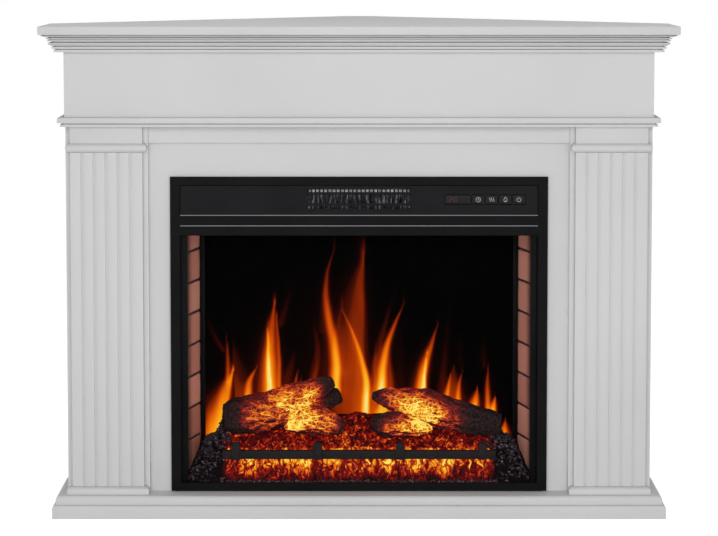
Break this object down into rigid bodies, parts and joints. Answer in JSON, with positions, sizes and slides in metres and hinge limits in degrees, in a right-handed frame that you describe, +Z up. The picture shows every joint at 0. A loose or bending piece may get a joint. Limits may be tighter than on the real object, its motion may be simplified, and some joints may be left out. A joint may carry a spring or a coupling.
{
  "type": "corner fireplace",
  "caption": "Corner mantel with fluted pilasters round an electric insert: glass front, logs on an ember bed, flame screen, blower grille and keys.",
  "frame": {"origin": "floor level, under the middle of the mantel's bounding box", "axes": "+X along the front to the viewer's right, +Y back into the room's corner, +Z up"},
  "size_m": [1.2, 0.78, 0.935],
  "materials": {
    "painted_mdf": "satin light grey paint on fibreboard",
    "bare_timber": "planed softwood, unfinished",
    "black_steel": "fine textured black powder coat",
    "black_plastic": "moulded, satin black",
    "gloss_black": "polished black",
    "bright_trim": "satin strip",
    "clear_glass": "clear toughened pane",
    "pressed_brick": "pressed board in brick courses",
    "flame_picture": "dark diffusing screen with flames of light",
    "ember_resin": "moulded embers lit from below",
    "log_resin": "moulded charred wood lit through its cracks",
    "grate_black": "matt black",
    "aluminium": "plain",
    "zinc_steel": "zinc plated sheet",
    "circuit_board": "green laminate",
    "rubber": "black"
  },
  "bodies": {
    "root": {"mantel_shelf": "painted_mdf", "cornice_front": "painted_mdf", "cornice_left": "painted_mdf", "cornice_right": "painted_mdf", "belt_front": "painted_mdf", "belt_left": "painted_mdf", "belt_right": "painted_mdf", "frieze_board": "painted_mdf", "head_rail": "painted_mdf", "surround_top": "painted_mdf", "surround_left": "painted_mdf", "surround_right": "painted_mdf", "stile_left": "painted_mdf", "stile_right": "painted_mdf", "side_panel_left": "painted_mdf", "side_panel_right": "painted_mdf", "pilaster_left": "painted_mdf", "pilaster_right": "painted_mdf", "pilaster_base_left": "painted_mdf", "pilaster_base_right": "painted_mdf", "pilaster_capital_left": "painted_mdf", "pilaster_capital_right": "painted_mdf", "plinth_upper": "painted_mdf", "plinth_lower": "painted_mdf", "corner_post": "bare_timber", "wall_rail_left": "bare_timber", "wall_rail_right": "bare_timber", "insert_case": "black_steel", "front_frame": "black_steel", "firebox_ceiling": "black_steel", "fascia_panel": "black_plastic", "vent_grille": "black_plastic", "display_window": "gloss_black", "trim_strip_upper": "bright_trim", "trim_strip_lower": "bright_trim", "glass_pane": "clear_glass", "brick_panel_left": "pressed_brick", "brick_panel_right": "pressed_brick", "flame_screen": "flame_picture", "ember_bed": "ember_resin", "log_left_main": "log_resin", "log_left_back": "log_resin", "log_left_front": "log_resin", "log_right_main": "log_resin", "log_right_front": "log_resin", "grate": "grate_black", "heater_element": "aluminium", "blower_housing": "zinc_steel", "blower_motor": "zinc_steel", "rod_bracket": "zinc_steel", "rod_motor": "zinc_steel", "control_board": "circuit_board", "led_board": "circuit_board", "cable_gland": "rubber"},
    "timer_key": {"key_timer": "gloss_black"},
    "heat_key": {"key_heat": "gloss_black"},
    "flame_key": {"key_flame": "gloss_black"},
    "power_key": {"key_power": "gloss_black"},
    "blower_rotor": {"blower_wheel": "aluminium"},
    "flicker_spindle": {"flicker_rod": "aluminium"}
  },
  "joints": [
    {"name": "timer_key_press", "type": "slide", "parent": "root", "child": "timer_key", "axis": [0, 1, 0], "range_m": [0, 0.0012], "stiffness_N_per_m": 600, "springref_m": -0.0005},
    {"name": "heat_key_press", "type": "slide", "parent": "root", "child": "heat_key", "axis": [0, 1, 0], "range_m": [0, 0.0012], "stiffness_N_per_m": 600, "springref_m": -0.0005},
    {"name": "flame_key_press", "type": "slide", "parent": "root", "child": "flame_key", "axis": [0, 1, 0], "range_m": [0, 0.0012], "stiffness_N_per_m": 600, "springref_m": -0.0005},
    {"name": "power_key_press", "type": "slide", "parent": "root", "child": "power_key", "axis": [0, 1, 0], "range_m": [0, 0.0012], "stiffness_N_per_m": 600, "springref_m": -0.0005},
    {"name": "blower_spin", "type": "hinge", "parent": "root", "child": "blower_rotor", "pos_m": [0, -0.24, 0.5995], "axis": [1, 0, 0], "continuous": true},
    {"name": "flicker_spin", "type": "hinge", "parent": "root", "child": "flicker_spindle", "pos_m": [0, -0.13, 0.1096], "axis": [1, 0, 0], "continuous": true}
  ]
}
